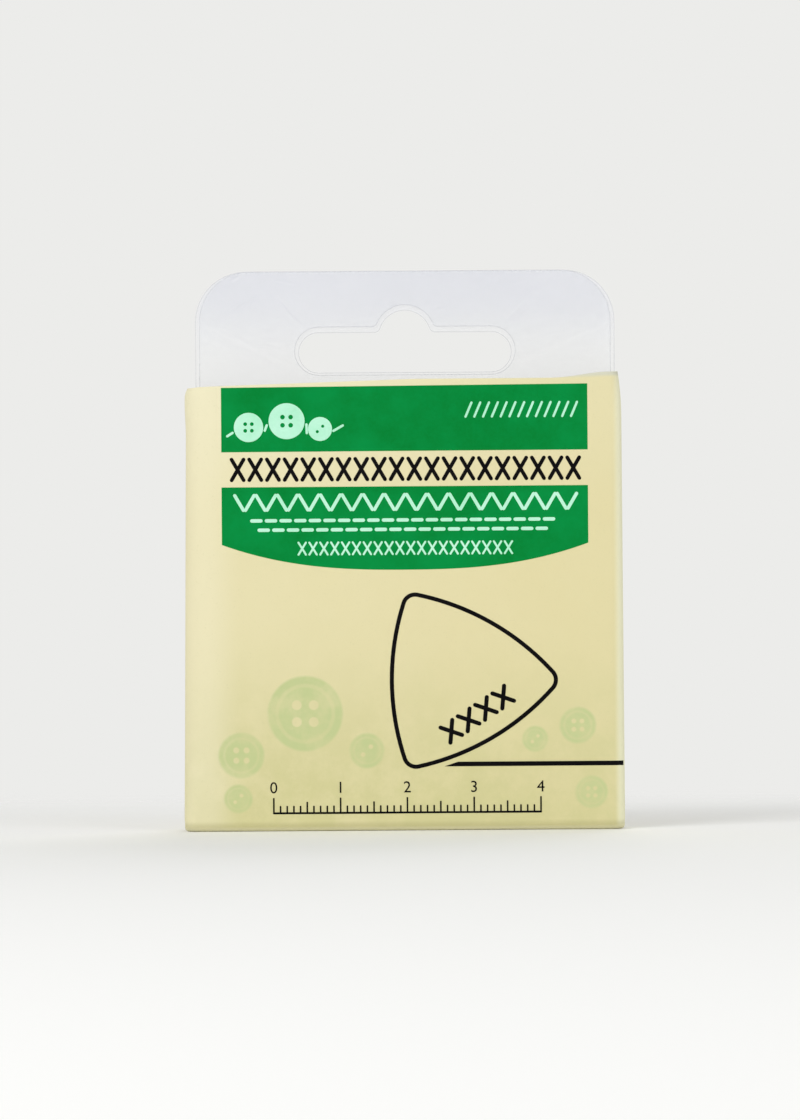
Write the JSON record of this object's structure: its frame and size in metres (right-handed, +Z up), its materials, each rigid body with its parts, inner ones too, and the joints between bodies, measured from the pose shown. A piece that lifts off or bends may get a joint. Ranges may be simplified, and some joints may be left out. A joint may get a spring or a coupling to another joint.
{
  "type": "tailors chalk",
  "caption": "Rounded triangle of pressed chalk in a clear folded hanging tray that slides into a flat printed card sleeve.",
  "frame": {"origin": "middle of the packet's foot, on the surface that it stands on", "axes": "+X to the right of the printed front, +Y out of the back, +Z up towards the hang tab"},
  "size_m": [0.066, 0.0091, 0.0842],
  "materials": {
    "card": "satin",
    "card_inside": "matte",
    "green_ink": "satin",
    "black_ink": "satin",
    "clear_plastic": "glossy",
    "chalk": "matte"
  },
  "bodies": {
    "sleeve": {"front_panel": "card", "back_panel": "card", "left_side": "card", "right_side": "card", "foot_fold": "card", "bottom_outer_flap": "card", "glue_flap": "card_inside", "bottom_inner_flap": "card_inside", "left_dust_flap": "card_inside", "right_dust_flap": "card_inside", "printed_bands": "green_ink", "printed_outline": "black_ink"},
    "tray": {"hang_tab": "clear_plastic", "nest_sheet": "clear_plastic", "left_pad": "clear_plastic", "right_pad": "clear_plastic", "backing_leaf": "clear_plastic", "bottom_fold": "clear_plastic"},
    "chalk": {"chalk": "chalk"}
  },
  "joints": [
    {"name": "tray_slide", "type": "slide", "parent": "sleeve", "child": "tray", "axis": [0, 0, 1], "range_m": [0, 0.07]},
    {"name": "chalk_lift", "type": "slide", "parent": "tray", "child": "chalk", "axis": [0, 0, 1], "range_m": [0, 0.068]}
  ]
}
